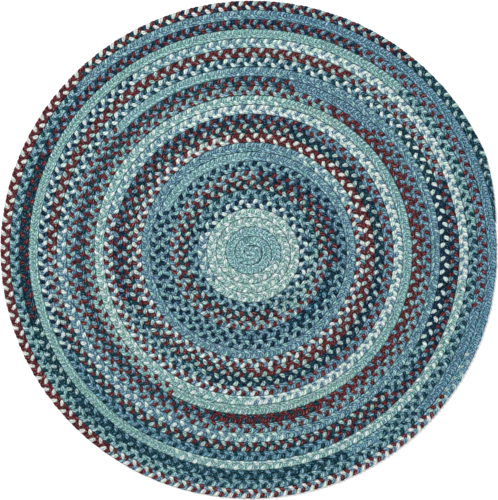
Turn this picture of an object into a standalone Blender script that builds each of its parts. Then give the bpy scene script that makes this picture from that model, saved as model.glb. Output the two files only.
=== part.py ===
"""A round braided rug, lying flat.

One flat three-strand braid of yarn is coiled clockwise from a small oval centre and laced edge to edge, so
the rug is one piece and one solid. The solid is lofted along the coil: each turn of the braid is a raised rib
with a groove on either side, the outer edge is rounded, the braid's end tapers into that edge, and the
underside is flat, because the rug lies on it.
"""

import math

import bmesh
import bpy

# The braid, in metres.
ROW_WIDTH = 0.03163  # across the flattened braid, which is also the coil's pitch
THICKNESS = 0.013
GROOVE_DEPTH = 0.0045  # from the crests down to the laced joint between two turns

# The coil: its outer groove is START_REACH + ROW_WIDTH * turns away from the middle, and more along X.
START_REACH = 0.0012
OVAL_REACH = 0.0054
TURNS = 27
INNER_SHIFT = 0.0035  # how far the inner turns lie off the middle of the outer ones, towards -Y
SHIFTED, UNSHIFTED = 11, 26  # the turns between which that shift fades out
STEPS_PER_TURN = 60
LAST_STEP = TURNS * STEPS_PER_TURN - 1
TAPER_STEPS = 2  # the braid narrows to nothing over its last two steps

# Sections, a row for each point: (share of the row's width from its inner groove, depth below the crest).
CRESTS = (
    (0.27, 0.0),
    (0.73, 0.0),
)
GROOVE = ((1.0, GROOVE_DEPTH),)
RIM = (
    (0.93, 0.17 * THICKNESS),
    (1.0, 0.52 * THICKNESS),
    (0.93, THICKNESS),
)
CENTRE_CREST = 0.55  # how far the flat top of the centre reaches towards the first groove

YARN_COLOUR = (0.17, 0.24, 0.26, 1.0)  # the mean of burgundy, cream, navy, spruce, denim, aqua and mint
YARN_ROUGHNESS = 0.95


def coil_point(step, across, depth):
    """The point at a step along the coil, a share of the way across its row, a depth below the crests."""
    turn = step / STEPS_PER_TURN
    width = ROW_WIDTH * min(1.0, (LAST_STEP - step) / TAPER_STEPS)
    reach = START_REACH + ROW_WIDTH * (turn - 1) + width * across
    return reach_point(turn, reach, depth)


def shift_at(turn):
    share = min(1.0, max(0.0, (UNSHIFTED - turn) / (UNSHIFTED - SHIFTED)))
    return INNER_SHIFT * share * share * (3 - 2 * share)


def reach_point(turn, reach, depth):
    """The point a reach away from the middle. The coil runs clockwise, seen from above."""
    angle = -2 * math.pi * turn
    return (
        (reach + OVAL_REACH) * math.cos(angle),
        reach * math.sin(angle) - shift_at(turn),
        THICKNESS - depth,
    )


def add_rows(bm):
    """The points of each step: its crests, and its outer edge, a groove, or the rim on the last turn."""
    crests, edges = [], []
    for step in range(LAST_STEP):
        has_rim = step >= LAST_STEP - STEPS_PER_TURN
        has_crests = step >= STEPS_PER_TURN
        crests.append([bm.verts.new(coil_point(step, *p)) for p in (CRESTS if has_crests else ())])
        edges.append([bm.verts.new(coil_point(step, *p)) for p in (RIM if has_rim else GROOVE)])
    return crests, edges


def add_centre(bm, section, grooves):
    """The oval middle inside the groove's first turn, flat on top, up to the section where the ribs begin."""
    middle = bm.verts.new((0.0, -INNER_SHIFT, THICKNESS))
    ring = []
    for step in range(STEPS_PER_TURN):
        turn = step / STEPS_PER_TURN
        reach = CENTRE_CREST * (START_REACH + ROW_WIDTH * turn)
        ring.append(bm.verts.new(reach_point(turn, reach, 0.0)))
    for a in range(STEPS_PER_TURN - 1):
        bm.faces.new((middle, ring[a], ring[a + 1]))
        bm.faces.new((ring[a], grooves[a], grooves[a + 1], ring[a + 1]))
    # The last step of the middle meets its own start and the first rib, which lie in one line.
    line = [middle, ring[0], *section[:-1], grooves[-1]]
    for a, b in zip(line, line[1:]):
        bm.faces.new((ring[-1], a, b))
    bm.faces.new((grooves[-1], section[-2], section[-1]))


def loft(bm, near, far):
    """The faces between two sections. A point that both share, or that one repeats, makes a triangle."""
    for corners in zip(near, near[1:], far[1:], far):
        bm.faces.new(dict.fromkeys(corners))


def coiled_rug(bm):
    crests, edges = add_rows(bm)
    sections = [
        [edges[step - STEPS_PER_TURN][0], *crests[step], *edges[step]]
        for step in range(STEPS_PER_TURN, LAST_STEP)
    ]
    # The tapered end closes on the rim of the turn inside it.
    rim = edges[LAST_STEP - STEPS_PER_TURN]
    sections.append([rim[0]] * (1 + len(CRESTS)) + rim)
    for near, far in zip(sections, sections[1:]):
        loft(bm, near, far)
    add_centre(bm, sections[0], [edge[0] for edge in edges[:STEPS_PER_TURN]])
    bm.faces.new([edge[-1] for edge in edges[LAST_STEP - STEPS_PER_TURN :]])
    bmesh.ops.recalc_face_normals(bm, faces=bm.faces)


def yarn_material():
    material = bpy.data.materials.new("braided_yarn")
    material.use_nodes = True
    shader = material.node_tree.nodes["Principled BSDF"]
    shader.inputs["Base Color"].default_value = YARN_COLOUR
    shader.inputs["Roughness"].default_value = YARN_ROUGHNESS
    shader.inputs["Metallic"].default_value = 0.0
    return material


def middle_of(mesh, axis):
    """The middle of the mesh's extent along an axis."""
    places = [v.co[axis] for v in mesh.vertices]
    return (min(places) + max(places)) / 2


def build_rug(collection):
    bm = bmesh.new()
    coiled_rug(bm)
    mesh = bpy.data.meshes.new("braided_coil")
    bm.to_mesh(mesh)
    bm.free()
    mesh.shade_smooth()
    mesh.set_sharp_from_angle(angle=math.radians(50))
    mesh.materials.append(yarn_material())
    rug = bpy.data.objects.new("braided_coil", mesh)
    # The coil's middle lies a little off the middle of its outline, which is the part's origin.
    rug.location = (-middle_of(mesh, 0), -middle_of(mesh, 1), 0.0)
    collection.objects.link(rug)


def main():
    for old in list(bpy.data.objects):
        bpy.data.objects.remove(old, do_unlink=True)
    collection = bpy.data.collections.new("braided_rug")
    bpy.context.scene.collection.children.link(collection)
    build_rug(collection)


main()
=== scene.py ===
"""The looks of a round braided rug: three yarn strands plaited flat, the braid coiled and laced into a disc.

Every strand is a real tube that goes over and under its neighbours. It is cut into runs of one yarn each, and
the runs of a yarn make one piece, or two. All lengths are in metres.
"""

import math

import bpy
import numpy as np
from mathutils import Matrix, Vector


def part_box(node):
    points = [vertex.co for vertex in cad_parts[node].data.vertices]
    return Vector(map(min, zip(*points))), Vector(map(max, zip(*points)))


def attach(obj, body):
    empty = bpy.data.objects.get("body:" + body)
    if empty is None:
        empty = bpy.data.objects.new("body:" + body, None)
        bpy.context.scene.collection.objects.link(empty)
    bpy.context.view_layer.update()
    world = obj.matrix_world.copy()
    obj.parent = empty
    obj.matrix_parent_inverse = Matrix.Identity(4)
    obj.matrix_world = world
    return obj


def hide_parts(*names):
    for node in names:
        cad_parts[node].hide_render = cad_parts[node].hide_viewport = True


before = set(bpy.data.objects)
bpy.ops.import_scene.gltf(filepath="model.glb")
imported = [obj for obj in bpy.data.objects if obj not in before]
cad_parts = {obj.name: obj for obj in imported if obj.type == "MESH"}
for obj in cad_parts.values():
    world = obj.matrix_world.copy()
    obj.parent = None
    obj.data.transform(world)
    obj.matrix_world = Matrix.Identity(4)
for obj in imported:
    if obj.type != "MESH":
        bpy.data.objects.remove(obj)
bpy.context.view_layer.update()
NODE = "braided_coil"

# The coil, as the CAD node has it. A place along it is counted in turns.
ROW_WIDTH = 0.03163
THICKNESS = 0.013
START_REACH = 0.0012
OVAL_REACH = 0.0054
INNER_SHIFT = 0.0035  # how far the inner turns lie off the middle of the outer ones, towards -Y
SHIFTED, UNSHIFTED = 11, 26  # the turns between which that shift fades out
LEFT_TURN, FAR_TURN = 26.5, 26.75  # where its outer edge meets the left and the far side of the node's box
TINY_TURN = 1e-4  # to either side of a place, for the direction there
WAY_POINTS = 60_001  # at which a way along the coil is measured

# The braid's way along the coil, in turns where nothing else is said.
BRAID_START = 0.50  # its first part lies straight, and it folds back round that part
FOLD_START = 0.85
FOLD_END = 1.25  # from here on it follows the coil
FIRST_PART = ((-0.0262, 0.0035), (0.011, 0.0035))  # its straight part's ends, in metres from the middle
FOLD_PULL = 0.021  # how roomy the fold is, in metres
LEAST_ROOM = 0.55  # how much the braid's inner edge is crowded in the fold, as a share
LEAST_BEND = 1e-6  # radians from ring to ring, so that a straight way has a radius too
BRAID_END = 26.981
START_ROUND = 0.10  # over which the braid's start widens
END_TAPER = 0.046  # over which the braid's end narrows
NARROWEST = 0.12  # the end's width, as a share of a row

# The braid.
REPEAT = 0.0459  # along the row, in which each strand crosses to the far edge and back
STRANDS = 3
RINGS = 16  # rings of points on a strand in each repeat
UNDER_RING = 2  # the ring of each crossing that lies underneath
CLOSER = 0.25  # how much closer the rings are where the strand lies on top and turns at the row's edge
CLOSER_LATE = math.pi / 4  # the phase of that
SWING = 0.0106  # how far a strand's middle goes from the row's middle
STEEP = 0.25  # how much faster than a sine it crosses the row
LIFT = 0.0037  # how far it rises and falls
RIM_OPEN = 0.6  # at the rim the strands lie open to the light, so less shade is painted on their outer side
LATE = math.radians(25)  # how much later than halfway across it is highest
HALF_WIDE = 0.0070  # half a strand's section, where it is plumpest, on top and underneath
HALF_THICK = 0.0030
EDGE_WIDE = 0.0054  # and where it turns at the row's edge, and dives at the row's middle
EDGE_THICK = 0.0033
FLOOR_GAP = 0.0001  # to which its own weight flattens it on the floor
RUN_END = 0.45  # how wide and thick a run's end is, as a share of the strand

# The braid's unevenness, as shares of the sizes above.
SEED = 27
WAVER_RINGS = 5  # from one random number to the next
SWING_WAVER = 0.07
LIFT_WAVER = 0.10
WIDE_WAVER = 0.12
THICK_WAVER = 0.06

# A strand's section, a flattened tube: (across, up), as shares of its half sizes.
SECTION = (
    (1.00, 0.00),
    (0.68, 0.90),
    (-0.68, 0.90),
    (-1.00, 0.00),
    (-0.68, -0.90),
    (0.68, -0.90),
)

# What yarn the strands hold, from each place along the coil on: (turns, strand a, strand b, strand c).
YARN_RUNS = (
    (0.00, "aqua", "aqua", "aqua"),
    (3.05, "mint", "cream", "pale"),
    (5.40, "aqua", "cream", "denim"),
    (5.50, "denim", "cream", "denim"),
    (5.56, "navy", "cream", "denim"),
    (6.10, "spruce", "pale", "denim"),
    (6.20, "navy", "aqua", "denim"),
    (6.58, "spruce", "aqua", "denim"),
    (7.00, "spruce", "pale", "aqua"),
    (7.19, "burgundy", "pale", "spruce"),
    (8.00, "burgundy", "pale", "denim"),
    (8.76, "burgundy", "denim", "navy"),
    (9.03, "navy", "spruce", "teal"),
    (9.18, "navy", "denim", "denim"),
    (9.26, "navy", "aqua", "denim"),
    (9.84, "navy", "denim", "denim"),
    (10.03, "navy", "aqua", "denim"),
    (10.58, "aqua", "aqua", "aqua"),
    (10.75, "denim", "aqua", "denim"),
    (11.82, "denim", "cream", "aqua"),
    (11.93, "burgundy", "ivory", "denim"),
    (12.20, "burgundy", "cream", "denim"),
    (12.42, "burgundy", "ivory", "denim"),
    (12.66, "burgundy", "ivory", "pale"),
    (12.72, "burgundy", "ivory", "burgundy"),
    (13.00, "burgundy", "pale", "burgundy"),
    (13.25, "burgundy", "pale", "spruce"),
    (13.80, "spruce", "pale", "navy"),
    (14.00, "navy", "pale", "navy"),
    (14.13, "spruce", "pale", "navy"),
    (14.30, "spruce", "pale", "denim"),
    (14.44, "burgundy", "navy", "denim"),
    (14.82, "burgundy", "denim", "denim"),
    (15.23, "burgundy", "cream", "denim"),
    (15.55, "denim", "cream", "aqua"),
    (15.67, "cream", "cream", "denim"),
    (16.25, "mint", "cream", "aqua"),
    (16.38, "mint", "cream", "pale"),
    (16.50, "mint", "cream", "aqua"),
    (16.79, "mint", "mint", "pale"),
    (16.85, "aqua", "mint", "aqua"),
    (17.14, "mint", "mint", "pale"),
    (17.33, "burgundy", "mint", "aqua"),
    (17.46, "burgundy", "mint", "denim"),
    (17.83, "burgundy", "burgundy", "denim"),
    (17.98, "burgundy", "burgundy", "aqua"),
    (18.07, "burgundy", "burgundy", "denim"),
    (18.18, "burgundy", "burgundy", "spruce"),
    (18.29, "burgundy", "denim", "spruce"),
    (18.79, "denim", "denim", "denim"),
    (18.87, "burgundy", "denim", "denim"),
    (19.02, "burgundy", "denim", "aqua"),
    (19.62, "aqua", "aqua", "aqua"),
    (19.73, "denim", "denim", "aqua"),
    (20.22, "denim", "cream", "aqua"),
    (20.28, "denim", "cream", "denim"),
    (20.52, "spruce", "cream", "denim"),
    (20.89, "spruce", "cream", "spruce"),
    (20.94, "navy", "cream", "navy"),
    (21.08, "spruce", "denim", "aqua"),
    (21.13, "burgundy", "pale", "spruce"),
    (21.45, "burgundy", "pale", "denim"),
    (21.50, "burgundy", "pale", "burgundy"),
    (21.83, "burgundy", "pale", "denim"),
    (21.94, "burgundy", "denim", "navy"),
    (22.19, "spruce", "denim", "teal"),
    (22.42, "navy", "cream", "denim"),
    (22.66, "aqua", "cream", "denim"),
    (22.76, "cream", "cream", "denim"),
    (23.02, "mint", "cream", "aqua"),
    (23.31, "mint", "aqua", "mint"),
    (23.87, "spruce", "aqua", "aqua"),
    (23.98, "spruce", "aqua", "denim"),
    (24.15, "teal", "aqua", "denim"),
    (24.18, "spruce", "spruce", "denim"),
    (24.39, "spruce", "spruce", "pale"),
    (24.45, "spruce", "navy", "burgundy"),
    (24.57, "denim", "navy", "burgundy"),
    (24.83, "denim", "denim", "burgundy"),
    (25.04, "denim", "teal", "denim"),
    (25.12, "spruce", "denim", "aqua"),
    (25.30, "spruce", "aqua", "aqua"),
    (25.46, "spruce", "denim", "aqua"),
    (25.62, "aqua", "denim", "denim"),
    (25.76, "teal", "denim", "denim"),
    (26.07, "teal", "pale", "denim"),
    (26.10, "burgundy", "pale", "denim"),
    (26.12, "burgundy", "ivory", "denim"),
    (26.35, "burgundy", "ivory", "burgundy"),
    (26.63, "burgundy", "spruce", "ivory"),
    (26.70, "burgundy", "navy", "ivory"),
    (26.75, "burgundy", "navy", "pale"),
    (26.86, "spruce", "spruce", "pale"),
    (26.95, "spruce", "teal", "spruce"),
)

# The yarns: (the dark, the main and the light fibres' linear colours, how light the painted shade in the
# furrows between the plies is, how dark the painted shade in the crevices is).
YARNS = {
    "cream": ((0.28, 0.40, 0.38), (0.56, 0.67, 0.64), (0.64, 0.76, 0.73), 0.60, 0.50),
    "ivory": ((0.36, 0.42, 0.40), (0.61, 0.65, 0.61), (0.71, 0.73, 0.70), 0.60, 0.50),
    "pale": ((0.10, 0.20, 0.20), (0.35, 0.49, 0.485), (0.53, 0.67, 0.66), 0.35, 0.50),
    "mint": ((0.07, 0.18, 0.17), (0.26, 0.455, 0.435), (0.41, 0.60, 0.58), 0.35, 0.50),
    "aqua": ((0.04, 0.14, 0.16), (0.25, 0.44, 0.46), (0.42, 0.61, 0.63), 0.35, 0.50),
    "denim": ((0.020, 0.07, 0.12), (0.145, 0.285, 0.37), (0.27, 0.44, 0.52), 0.15, 0.65),
    "teal": ((0.020, 0.07, 0.12), (0.125, 0.30, 0.40), (0.27, 0.47, 0.57), 0.15, 0.65),
    "navy": ((0.001, 0.004, 0.012), (0.005, 0.027, 0.056), (0.06, 0.15, 0.23), 0.0, 0.90),
    "spruce": ((0.001, 0.008, 0.016), (0.007, 0.052, 0.074), (0.08, 0.22, 0.28), 0.0, 0.85),
    "burgundy": ((0.018, 0.006, 0.009), (0.125, 0.023, 0.030), (0.29, 0.12, 0.115), 0.0, 0.80),
}
MOST_QUADS = 95_000  # in a piece
STRAND_SHIFT = 100.0  # metres between the strands' places in the yarns' patterns

# The yarn's make. The patterns' sizes are in lumps for each metre along a strand and each turn round it.
PLIES = 6  # in a strand
PLY_TWIST = 9.0  # turns of the plies in each metre
STRETCH_SIZE = (18.0, 1.0)
PLY_WANDER = 2.0  # radians that the plies go to and fro, as the yarn stretches
FIBRE_SIZE = (500.0, 110.0)
FLECK_SIZE = (320.0, 16.0)
FLECK_DRAW = 0.008  # how far the flecks' ends are drawn out along the fibres
FIBRE_HEIGHT = 0.35  # as a share of a ply's
PLY_ROUND = 0.6  # the power that rounds the plies
YARN_BUMP = 0.8
PLY_HEIGHT = 0.0011
YARN_ROUGHNESS = 0.92
YARN_SPECULAR = 0.06
YARN_SHEEN = 0.02
SHEEN_ROUGHNESS = 0.6

# The yarn's shades. A change is given as where on its pattern, from 0 to 1, it begins and ends.
DARK_FLECKS = (0.40, 0.26)
LIGHT_FLECKS = (0.72, 0.84)
TINTS = ((1.06, 0.985, 1.04), (0.94, 1.015, 0.96))  # between which every yarn drifts
TINT_CHANGE = (0.4, 0.6)
# The plies' furrows are painted darker and their ridges lighter: painted shade and painted highlight.
PLY_CHANGE = (0.1, 0.9)
PAINTED_RIDGE_HIGHLIGHT = 1.25  # the painted highlight on the ridge of a ply whose furrows are black
RIDGE_FALL = 0.25  # how much less that highlight is where the furrows' painted shade is as light as the yarn
FIBRE_CHANGE = (0.3, 0.7)
FIBRE_TONES = (0.9, 1.1)  # before that change and after it
PAINTED_SHADE = (0.004, 0.010, 0.017)  # the colour of the painted shade deep between the strands, along the joints of the turns and in the thread's furrow
# Where the painted shade sets in and is full: by depth between the rug's faces, and by nearness to the joint.
DEEP_CHANGE = (0.5, 0.95)
JOINT_CHANGE = (0.89, 0.96)
PAINTED_JOINT_SHADE = 0.6  # how dark the shade painted along the joint between two turns is

# The lacing thread.
LACING_START = 0.05  # in turns
STITCH = 0.0153
STITCH_REACH = 0.0022  # how far it goes to either side of the joint
THREAD_RADIUS = 0.0017
THREAD_SECTION = ((1, 0), (0, 1), (-1, 0), (0, -1))  # (outward, up), as shares of that
THREAD_TWIST = 160.0  # turns in each metre
THREAD_HEIGHT = 0.0004  # of its two ends above the furrow between them
THREAD_COLOUR = (0.03, 0.06, 0.07)
THREAD_ROUGHNESS = 0.7

# The map of a piece for baking: strips of quads, and the caps in the last strip.
QUAD_SHAPE = 0.9  # a quad's width as a share of its height
STRIP_MARGIN = 0.06  # of a strip, to either side of its quads
CAP_REACH = 0.4  # a cap's radius, as a share of its own place

# The studio. A lamp is (name, place, size, watts).
FLOOR_SIZE = 30.0
FLOOR_COLOUR = (0.93, 0.93, 0.93)
FLOOR_ROUGHNESS = 0.9
SKY_COLOUR = (1.0, 1.0, 1.0)
SKY_STRENGTH = 0.55
LAMPS = (
    ("key", (-2.6, 2.8, 5.2), 2.2, 342.0),
    ("fill", (3.2, -2.2, 5.0), 3.5, 115.0),
)

# The photograph's frame and the rug's sides in it, in pixels, and the lens, in millimetres.
FRAME_WIDE, FRAME_HIGH = 498, 500
RUG_LEFT, RUG_RIGHT, RUG_TOP, RUG_BOTTOM = 0.6, 496.6, 0.9, 498.2
LENS = 85.0
SENSOR_WIDE = 36.0


def smooth(given, low, high):
    """A smooth change from 0 to 1 as the given numbers go from low to high."""
    share = np.clip((given - low) / (high - low), 0, 1)
    return share * share * (3 - 2 * share)


def width_at(turns):
    """The braid's width as a share of a row: its start is round, and its end is narrow."""
    from_start = np.clip((turns - BRAID_START) / START_ROUND, 0, 1)
    to_end = np.clip((BRAID_END - turns) / END_TAPER, 0, 1)
    start = NARROWEST + (1 - NARROWEST) * np.sqrt(1 - (1 - from_start) ** 2)
    return start * (NARROWEST + (1 - NARROWEST) * to_end)


def coil_centre():
    """The coil's middle, from the left and the far side of the CAD node's box."""
    low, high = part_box(NODE)
    left = coil_at(LEFT_TURN, 1.0)[0]
    far = coil_at(FAR_TURN, 1.0)[1]
    return np.array([low[0] - left, high[1] - far])


def coil_at(turns, across):
    """Points on the coil, a share of the way across its row. It runs clockwise, seen from above."""
    reach = START_REACH + ROW_WIDTH * (turns - 1 + across)
    angle = -2 * math.pi * turns
    shift = INNER_SHIFT * smooth(turns, UNSHIFTED, SHIFTED)
    return np.stack([(reach + OVAL_REACH) * np.cos(angle), reach * np.sin(angle) - shift], -1)


def heading_at(turns):
    """The coil's direction, as a vector of length 1, along the middle of its row."""
    way = coil_at(turns + TINY_TURN, 0.5) - coil_at(turns - TINY_TURN, 0.5)
    return way / np.linalg.norm(way, axis=-1, keepdims=True)


def path_at(turns, centre):
    """Points of the braid's middle line. The narrow end lies against the turn inside it."""
    across = np.where(turns > BRAID_END - END_TAPER, width_at(turns) / 2, 0.5)
    line = coil_at(turns, across)
    # The first part is straight, and a cubic curve folds it back into the coil.
    start, bend = np.array(FIRST_PART)
    joined = coil_at(FOLD_END, 0.5)
    pulls = (bend, bend + [FOLD_PULL, 0], joined - heading_at(FOLD_END) * FOLD_PULL, joined)
    share = np.clip((turns - FOLD_START) / (FOLD_END - FOLD_START), 0, 1)[:, None]
    rest = 1 - share
    weights = (rest**3, 3 * rest**2 * share, 3 * rest * share**2, share**3)
    fold = sum(weight * pull for weight, pull in zip(weights, pulls))
    share = ((turns - BRAID_START) / (FOLD_START - BRAID_START))[:, None]
    straight = start * (1 - share) + bend * share
    early = turns[:, None]
    return centre + np.where(early < FOLD_START, straight, np.where(early < FOLD_END, fold, line))


def way_along(line):
    """How far along a line each of its points is."""
    return np.concatenate([[0], np.cumsum(np.linalg.norm(np.diff(line, axis=0), axis=1))])


def skipped(number):
    """How many rings of its first repeat a strand does without, so that all the strands start together."""
    return int(number / STRANDS * RINGS)


def ring_places(number, centre):
    """Each ring's phase, place in turns, point on the braid's middle line, and the way out from there."""
    turns = np.linspace(BRAID_START, BRAID_END, WAY_POINTS)
    along = way_along(path_at(turns, centre))
    first = number / STRANDS
    rings = int(along[-1] / REPEAT * RINGS)
    phase = 2 * math.pi * (np.arange(rings) - skipped(number) + 0.5) / RINGS
    phase -= CLOSER * np.sin(2 * phase + CLOSER_LATE)
    at = np.interp((phase / (2 * math.pi) + first) * REPEAT, along, turns)
    ahead = path_at(at + TINY_TURN, centre) - path_at(at - TINY_TURN, centre)
    ahead /= np.linalg.norm(ahead, axis=1)[:, None]
    return phase, at, path_at(at, centre), np.stack([-ahead[:, 1], ahead[:, 0]], 1)


def waver(rng, count, size):
    """A factor for each ring that changes smoothly at random, and differs from 1 by no more than size."""
    knots = rng.uniform(-size, size, count // WAVER_RINGS + 3)
    place = np.arange(count) / WAVER_RINGS
    share = place % 1
    share = share * share * (3 - 2 * share)
    left = place.astype(int)
    return 1 + (knots[left] * (1 - share) + knots[left + 1] * share)


def places_in_row(rings, at, line, outward):
    """How deep each point lies between the rug's faces, and how near the joint of two turns, from 0 to 1: the
    masks for the painted shade.
    """
    deep = 1 - np.abs(2 * rings[:, :, 2] / THICKNESS - 1)
    aside = np.einsum("rsk,rk->rs", rings[:, :, :2] - line[:, None], outward) / (ROW_WIDTH / 2)
    # At the rim's outer side less shade is painted, and none along a joint.
    at_rim = (at > BRAID_END - 1)[:, None] & (aside > 0)
    return np.stack([np.where(at_rim, deep * RIM_OPEN, deep), np.where(at_rim, 0.0, np.abs(aside))], -1)


def room_in_fold(line, outward):
    """How much room the braid's inner edge has at each ring, as a share: it is crowded in the fold."""
    turned = np.linalg.norm(np.gradient(outward, axis=0), axis=1)
    radius = np.linalg.norm(np.gradient(line, axis=0), axis=1) / np.maximum(turned, LEAST_BEND)
    return np.clip(radius / (SWING + HALF_WIDE), LEAST_ROOM, 1)


def strand_rings(phase, at, line, outward, rng):
    """The points of a strand's rings, (rings, sides, 3), and how far along the strand each ring is."""
    count = len(at)
    share = width_at(at)
    swing = np.cos(phase)
    aside = SWING * share * swing * (1 + STEEP - STEEP * swing**2) * waver(rng, count, SWING_WAVER)
    aside = np.where(aside < 0, aside * room_in_fold(line, outward), aside)
    up = THICKNESS / 2 - LIFT * np.sin(2 * phase - LATE) * waver(rng, count, LIFT_WAVER)
    middle = np.column_stack([line + outward * aside[:, None], up])
    ahead = np.gradient(middle, axis=0)
    ahead /= np.linalg.norm(ahead, axis=1)[:, None]
    across = np.cross([0.0, 0.0, 1.0], ahead)
    across /= np.linalg.norm(across, axis=1)[:, None]
    normal = np.cross(ahead, across)
    plump = np.abs(np.sin(2 * phase))
    wide = (EDGE_WIDE + (HALF_WIDE - EDGE_WIDE) * plump) * share * waver(rng, count, WIDE_WAVER)
    thick = (EDGE_THICK + (HALF_THICK - EDGE_THICK) * plump) * waver(rng, count, THICK_WAVER)
    section = np.array(SECTION)
    rings = (
        middle[:, None]
        + across[:, None] * (wide[:, None] * section[:, 0])[:, :, None]
        + normal[:, None] * (thick[:, None] * section[:, 1])[:, :, None]
    )
    rings[:, :, 2] = np.maximum(rings[:, :, 2], FLOOR_GAP)
    return rings, way_along(middle)


def runs_of(number, at):
    """The strand's runs: (yarn, first ring, last ring). A strand is spliced where it lies underneath."""
    starts, yarns = [], []
    crossing = RINGS // 2
    offset = skipped(number) + UNDER_RING
    for row in YARN_RUNS:
        if not yarns or row[1 + number] != yarns[-1]:
            ring = np.searchsorted(at, row[0])
            starts.append(int(round((ring - offset) / crossing)) * crossing + offset if starts else 0)
            yarns.append(row[1 + number])
    ends = [*starts[1:], len(at) - 1]
    return [(yarn, first, last) for yarn, first, last in zip(yarns, starts, ends) if last > first]


def tube(rings, painted_shade_masks, along):
    """A closed tube from rings: its points, their masks for the painted shade, quads, two caps, and the
    quads' places.
    """
    points = rings.copy()
    for end in (0, -1):
        middle = points[end].mean(0)
        points[end] = middle + (points[end] - middle) * RUN_END
    count, sides = points.shape[:2]
    ring, side = np.meshgrid(np.arange(count - 1), np.arange(sides), indexing="ij")
    after = (side + 1) % sides
    quads = (
        ring * sides + side,
        ring * sides + after,
        (ring + 1) * sides + after,
        (ring + 1) * sides + side,
    )
    # The place of each corner of a quad on the strand's surface: (metres along it, turns round it).
    places = (
        np.stack([along[ring], side / sides], -1),
        np.stack([along[ring], (side + 1) / sides], -1),
        np.stack([along[ring + 1], (side + 1) / sides], -1),
        np.stack([along[ring + 1], side / sides], -1),
    )
    quads = np.stack(quads, -1).reshape(-1, 4)
    places = np.stack(places, -2).reshape(-1, 4, 2)
    caps = np.array([np.arange(sides)[::-1], (count - 1) * sides + np.arange(sides)])
    return points.reshape(-1, 3), painted_shade_masks.reshape(-1, 2), quads, caps, places


def atlas(segments, sides, caps):
    """Where the corners of each quad and each cap of a piece lie in its square map."""
    rows = max(2, int(math.sqrt(segments / sides * QUAD_SHAPE)))
    columns = math.ceil(segments / (rows - 1))
    segment, side = np.divmod(np.arange(segments * sides), sides)
    row, column = np.divmod(segment, columns)
    left, right = column / columns, (column + 1) / columns
    inside = 1 - 2 * STRIP_MARGIN
    high = (row + 1 - STRIP_MARGIN - inside * side / sides) / rows
    low = (row + 1 - STRIP_MARGIN - inside * (side + 1) / sides) / rows
    corners = ((left, high), (left, low), (right, low), (right, high))
    quads = np.stack([np.stack(corner, -1) for corner in corners], 1)
    angle = 2 * math.pi * np.arange(sides) / sides
    ring = np.stack([np.cos(angle), np.sin(angle)], 1) * CAP_REACH
    spot = np.stack([(np.arange(caps) + 0.5) / caps, np.full(caps, (rows - 0.5) / rows)], 1)
    return quads, spot[:, None] + ring * np.array([1 / caps, 1 / rows])


def joined(tubes):
    """The tubes' points, masks for the painted shade, quads, caps and places, each in one array."""
    parts = ([], [], [], [], [])
    base = 0
    for points, painted_shade_masks, quads, caps, places in tubes:
        for part, made in zip(parts, (points, painted_shade_masks, quads + base, caps + base, places)):
            part.append(made)
        base += len(points)
    return [np.concatenate(part) for part in parts]


def mesh_of(name, points, quads, caps):
    """A mesh of quads, and of caps that have a corner for each side of a tube."""
    corners = np.concatenate([quads.ravel(), caps.ravel()])
    sizes = np.concatenate([np.full(len(quads), 4), np.full(len(caps), caps.shape[1])])
    starts = np.concatenate([[0], np.cumsum(sizes)[:-1]])
    mesh = bpy.data.meshes.new(name)
    mesh.vertices.add(len(points))
    mesh.vertices.foreach_set("co", points.astype(np.float32).ravel())
    mesh.loops.add(len(corners))
    mesh.loops.foreach_set("vertex_index", corners.astype(np.int32))
    mesh.polygons.add(len(sizes))
    mesh.polygons.foreach_set("loop_start", starts.astype(np.int32))
    mesh.update(calc_edges=True)
    return mesh


def add_map(mesh, name, quads, caps):
    """A UV map, from the places of the quads' corners and of the caps' corners."""
    places = np.concatenate([quads.ravel(), caps.ravel()])
    mesh.uv_layers.new(name=name).uv.foreach_set("vector", places.astype(np.float32))


def add_shares(mesh, name, shares):
    """A number for each point, which sets the material's painted shade."""
    mesh.attributes.new(name, "FLOAT", "POINT").data.foreach_set("value", shares.astype(np.float32))


def mesh_piece(name, tubes, material):
    """One piece of closed tubes."""
    points, painted_shade_masks, quads, caps, places = joined(tubes)
    sides = caps.shape[1]
    mesh = mesh_of(name, points, quads, caps)
    add_map(mesh, "OFBake", *atlas(len(quads) // sides, sides, len(caps)))
    add_map(mesh, "strand", places, np.zeros((*caps.shape, 2)))
    add_shares(mesh, "deep", painted_shade_masks[:, 0])
    add_shares(mesh, "aside", painted_shade_masks[:, 1])
    mesh.shade_smooth()
    mesh.validate()
    mesh.materials.append(material)
    piece = bpy.data.objects.new(name, mesh)
    bpy.context.scene.collection.objects.link(piece)
    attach(piece, "root")
    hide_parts(NODE)


def thread_rings(centre):
    """The rings of the thread that goes from side to side in the joint, and how far along it each is."""
    turns = np.linspace(LACING_START, BRAID_END - 1, WAY_POINTS)
    along = way_along(coil_at(turns, 1.0))
    stitches = int(along[-1] / STITCH * 2)
    at = np.interp(np.arange(stitches) * STITCH / 2, along, turns)
    # Half a turn on, the row's middle is as far out as the joint is here, and it runs the other way.
    back = heading_at(at + 0.5)
    outward = np.stack([back[:, 1], -back[:, 0]], 1)
    side = np.where(np.arange(stitches) % 2, 1.0, -1.0)
    line = centre + coil_at(at, 1.0) + outward * (side * STITCH_REACH)[:, None]
    middle = np.column_stack([line, THICKNESS / 2 + side * STITCH_REACH / 2])
    across = np.column_stack([outward, np.zeros(stitches)])
    up = np.array([0.0, 0.0, 1.0])
    rings = np.stack([middle + THREAD_RADIUS * (across * a + up * b) for a, b in THREAD_SECTION], 1)
    return rings, np.arange(stitches) * STITCH / 2


def link(tree, output, socket):
    """A link from a node's output to another node's input."""
    tree.links.new(output, socket)


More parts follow.
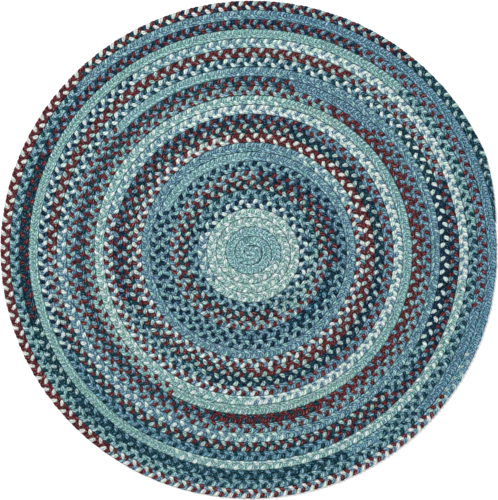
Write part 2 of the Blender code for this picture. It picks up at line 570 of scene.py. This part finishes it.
def give(tree, socket, given):
    """Sets an input to a number or a colour, or links an output to it."""
    if isinstance(given, (int, float)):
        socket.default_value = given
    elif isinstance(given, tuple):
        socket.default_value = (*given, 1.0)
    else:
        link(tree, given, socket)


def value(tree, operation, *inputs):
    """A Math node of these inputs, which are numbers or outputs."""
    node = tree.nodes.new("ShaderNodeMath")
    node.operation = operation
    for socket, given in zip(node.inputs, inputs):
        give(tree, socket, given)
    return node.outputs[0]


def mix(tree, share, first, second, blend="MIX"):
    """A mix of two colours, each a colour or an output."""
    node = tree.nodes.new("ShaderNodeMix")
    node.data_type = "RGBA"
    node.blend_type = blend
    give(tree, node.inputs["Factor"], share)
    give(tree, node.inputs["A"], first)
    give(tree, node.inputs["B"], second)
    return node.outputs["Result"]


def ramp(tree, given, low, high, at_low=0.0, at_high=1.0):
    """A smooth change from at_low to at_high as the given number goes from low to high."""
    node = tree.nodes.new("ShaderNodeMapRange")
    node.interpolation_type = "SMOOTHSTEP"
    for socket, number in zip(node.inputs, (given, low, high, at_low, at_high)):
        give(tree, socket, number)
    return node.outputs["Result"]


def pattern(tree, kind, along, angle, size):
    """A pattern node on the strand's round surface, with so many lumps in each metre and in each turn."""
    per_metre, per_turn = size
    reach = per_turn / (2 * math.pi)
    place = tree.nodes.new("ShaderNodeCombineXYZ")
    give(tree, place.inputs["X"], value(tree, "MULTIPLY", value(tree, "COSINE", angle), reach))
    give(tree, place.inputs["Y"], value(tree, "MULTIPLY", value(tree, "SINE", angle), reach))
    give(tree, place.inputs["Z"], value(tree, "MULTIPLY", along, per_metre))
    node = tree.nodes.new(kind)
    node.inputs["Scale"].default_value = 1.0
    link(tree, place.outputs[0], node.inputs["Vector"])
    return node


def noise(tree, along, angle, size):
    """A smooth noise about 0.5 on the strand's surface."""
    return pattern(tree, "ShaderNodeTexNoise", along, angle, size).outputs["Fac"]


def flecks(tree, along, angle, size):
    """Small flecks on the strand's surface, each with its own number from 0 to 1."""
    return pattern(tree, "ShaderNodeTexVoronoi", along, angle, size).outputs["Color"]


def attribute(tree, name):
    """A number that the mesh has for each point."""
    node = tree.nodes.new("ShaderNodeAttribute")
    node.attribute_name = name
    return node.outputs["Fac"]


def strand_place(tree):
    """Where on its strand a place is: metres along it, and the angle round it."""
    uv = tree.nodes.new("ShaderNodeUVMap")
    uv.uv_map = "strand"
    split = tree.nodes.new("ShaderNodeSeparateXYZ")
    link(tree, uv.outputs[0], split.inputs[0])
    return split.outputs[0], value(tree, "MULTIPLY", split.outputs[1], 2 * math.pi)


def add_bump(tree, shader, height, metres, strength=1.0):
    """Bump of a height from 0 to 1, which stands for so many metres."""
    bump = tree.nodes.new("ShaderNodeBump")
    bump.inputs["Strength"].default_value = strength
    bump.inputs["Distance"].default_value = metres
    link(tree, height, bump.inputs["Height"])
    link(tree, bump.outputs[0], shader.inputs["Normal"])


def new_material(name, roughness):
    """A material, its node tree and its shader."""
    material = bpy.data.materials.new(name)
    material.use_nodes = True
    shader = material.node_tree.nodes["Principled BSDF"]
    shader.inputs["Roughness"].default_value = roughness
    return material, material.node_tree, shader


def yarn_patterns(tree):
    """The yarn's patterns on its strand: its stretch, its plies, its fibres and its flecks."""
    along, around = strand_place(tree)
    # The plies wind round the strand, now more and now less.
    angle = value(tree, "MULTIPLY_ADD", along, 2 * math.pi * PLY_TWIST, around)
    stretch = noise(tree, along, angle, STRETCH_SIZE)
    wound = value(tree, "MULTIPLY_ADD", stretch, PLY_WANDER, value(tree, "MULTIPLY", angle, PLIES / 2))
    ply = value(tree, "ABSOLUTE", value(tree, "SINE", wound))
    fibre = noise(tree, along, angle, FIBRE_SIZE)
    drawn = value(tree, "MULTIPLY_ADD", fibre, FLECK_DRAW, along)
    return stretch, ply, fibre, flecks(tree, drawn, angle, FLECK_SIZE)


def heather(tree, stretch, fleck, dark, main, light):
    """Flecks of a dark and a light shade on the main one, in a tint that drifts along the yarn."""
    colour = mix(tree, ramp(tree, fleck, *DARK_FLECKS), main, dark)
    colour = mix(tree, ramp(tree, fleck, *LIGHT_FLECKS), colour, light)
    tint = mix(tree, ramp(tree, stretch, *TINT_CHANGE), *TINTS)
    return mix(tree, 1.0, colour, tint, "MULTIPLY")


def painted_ply_shade_and_fibre_tone(tree, ply, fibre, painted_furrow_tone):
    """The grey that the colour is multiplied by: painted shade in the plies' furrows, a painted highlight on
    their ridges, and a tone uneven from fibre to fibre.
    """
    plies = ramp(tree, ply, *PLY_CHANGE, painted_furrow_tone, PAINTED_RIDGE_HIGHLIGHT - RIDGE_FALL * painted_furrow_tone)
    tone = value(tree, "MULTIPLY", plies, ramp(tree, fibre, *FIBRE_CHANGE, *FIBRE_TONES))
    grey = tree.nodes.new("ShaderNodeCombineColor")
    for socket in grey.inputs[:3]:
        link(tree, tone, socket)
    return grey.outputs[0]


def painted_shade_share(tree, painted_crevice_shade):
    """How much painted shade a place gets because it lies deep between the strands or near the joint of two
    turns.
    """
    between = ramp(tree, attribute(tree, "deep"), *DEEP_CHANGE, 0.0, painted_crevice_shade)
    joint = ramp(tree, attribute(tree, "aside"), *JOINT_CHANGE, 0.0, PAINTED_JOINT_SHADE)
    return value(tree, "MAXIMUM", between, joint)


def yarn_material(name, dark, main, light, painted_furrow_tone, painted_crevice_shade):
    """Heathered yarn: fibres of three shades, drawn out along the strand, in plies that twist round it, with
    painted shade in the furrows and deep between the strands.
    """
    material, tree, shader = new_material(name, YARN_ROUGHNESS)
    shader.inputs["Specular IOR Level"].default_value = YARN_SPECULAR
    shader.inputs["Sheen Weight"].default_value = YARN_SHEEN
    shader.inputs["Sheen Roughness"].default_value = SHEEN_ROUGHNESS
    stretch, ply, fibre, fleck = yarn_patterns(tree)
    colour = heather(tree, stretch, fleck, dark, main, light)
    # Painted shade in the plies' furrows and a painted highlight on their ridges, with a random fibre tone.
    colour = mix(tree, 1.0, colour, painted_ply_shade_and_fibre_tone(tree, ply, fibre, painted_furrow_tone), "MULTIPLY")
    # Painted shade deep between the strands and along the joint of two turns.
    colour = mix(tree, painted_shade_share(tree, painted_crevice_shade), colour, PAINTED_SHADE)
    link(tree, colour, shader.inputs["Base Color"])
    height = value(tree, "MULTIPLY_ADD", fibre, FIBRE_HEIGHT, value(tree, "POWER", ply, PLY_ROUND))
    add_bump(tree, shader, height, PLY_HEIGHT, YARN_BUMP)
    return material


def thread_material():
    """Dark waxed thread of two twisted ends, with painted shade in the furrow between them."""
    material, tree, shader = new_material("lacing_thread", THREAD_ROUGHNESS)
    along, around = strand_place(tree)
    wound = value(tree, "MULTIPLY_ADD", along, 2 * math.pi * THREAD_TWIST, around)
    ply = value(tree, "ABSOLUTE", value(tree, "SINE", wound))
    # The furrow between the two ends is painted in the painted shade's colour.
    link(tree, mix(tree, ply, PAINTED_SHADE, THREAD_COLOUR), shader.inputs["Base Color"])
    add_bump(tree, shader, ply, THREAD_HEIGHT)
    return material


def tubes_by_yarn(centre):
    """The runs of each yarn as closed tubes, in their order along the strands."""
    rng = np.random.default_rng(SEED)
    by_yarn = {yarn: [] for yarn in YARNS}
    for number in range(STRANDS):
        phase, at, line, outward = ring_places(number, centre)
        rings, along = strand_rings(phase, at, line, outward, rng)
        along += number * STRAND_SHIFT
        painted_shade_masks = places_in_row(rings, at, line, outward)
        for yarn, first, last in runs_of(number, at):
            run = slice(first, last + 1)
            by_yarn[yarn].append((first, tube(rings[run], painted_shade_masks[run], along[run])))
    for yarn, runs in by_yarn.items():
        runs.sort(key=lambda run: run[0])
        by_yarn[yarn] = [made for _, made in runs]
    return by_yarn


def groups_of(tubes):
    """The tubes in groups, each small enough for a piece."""
    groups, count = [[]], 0
    for made in tubes:
        quads = len(made[2])
        if count + quads > MOST_QUADS:
            groups.append([])
            count = 0
        groups[-1].append(made)
        count += quads
    return groups


def make_strands(centre):
    """The three strands, in pieces of one yarn each."""
    for yarn, tubes in tubes_by_yarn(centre).items():
        material = yarn_material(f"{yarn}_yarn", *YARNS[yarn])
        groups = groups_of(tubes)
        for number, group in enumerate(groups, 1):
            name = f"yarn_{yarn}" if len(groups) == 1 else f"yarn_{yarn}_{number}"
            mesh_piece(name, group, material)


def make_thread(centre):
    """The thread that joins neighbouring turns, halfway up."""
    rings, along = thread_rings(centre)
    painted_shade_masks = np.zeros((*rings.shape[:2], 2))
    mesh_piece("lacing_thread", [tube(rings, painted_shade_masks, along)], thread_material())


def lay_floor():
    """A plain pale floor under the rug."""
    bpy.ops.mesh.primitive_plane_add(size=FLOOR_SIZE, location=(0.0, 0.0, 0.0))
    floor = bpy.context.object
    floor.name = "floor"
    material, _, shader = new_material("pale_floor", FLOOR_ROUGHNESS)
    shader.inputs["Base Color"].default_value = (*FLOOR_COLOUR, 1.0)
    floor.data.materials.append(material)


def add_lamp(name, place, size, watts):
    """A soft square lamp that looks at the rug's middle."""
    lamp = bpy.data.lights.new(name, "AREA")
    lamp.size = size
    lamp.energy = watts
    holder = bpy.data.objects.new(name, lamp)
    holder.location = place
    back = np.array(place) / np.linalg.norm(place)
    holder.rotation_mode = "QUATERNION"
    holder.rotation_quaternion = Vector(back).to_track_quat("Z", "Y")
    bpy.context.scene.collection.objects.link(holder)


def light_scene():
    """Soft studio light: a plain white sky and the lamps."""
    world = bpy.data.worlds.new("studio")
    world.use_nodes = True
    sky = world.node_tree.nodes["Background"]
    sky.inputs["Color"].default_value = (*SKY_COLOUR, 1.0)
    sky.inputs["Strength"].default_value = SKY_STRENGTH
    bpy.context.scene.world = world
    for lamp in LAMPS:
        add_lamp(*lamp)
    bpy.context.scene.view_settings.view_transform = "Standard"


def set_camera():
    """Straight above the rug, which fills the frame as in the photograph."""
    low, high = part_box(NODE)
    wide_pixel = (high[0] - low[0]) / (RUG_RIGHT - RUG_LEFT)
    high_pixel = (high[1] - low[1]) / (RUG_BOTTOM - RUG_TOP)
    pixel = (wide_pixel + high_pixel) / 2
    camera = bpy.data.cameras.new("camera")
    camera.lens = LENS
    camera.sensor_width = SENSOR_WIDE
    holder = bpy.data.objects.new("camera", camera)
    distance = pixel * max(FRAME_WIDE, FRAME_HIGH) * camera.lens / camera.sensor_width
    holder.location = (
        (low[0] + high[0]) / 2 + (FRAME_WIDE - RUG_LEFT - RUG_RIGHT) / 2 * pixel,
        (low[1] + high[1]) / 2 - (FRAME_HIGH - RUG_TOP - RUG_BOTTOM) / 2 * pixel,
        THICKNESS / 2 + distance,
    )
    bpy.context.scene.collection.objects.link(holder)
    bpy.context.scene.camera = holder


rug_centre = coil_centre()
make_strands(rug_centre)
make_thread(rug_centre)
lay_floor()
light_scene()
set_camera()
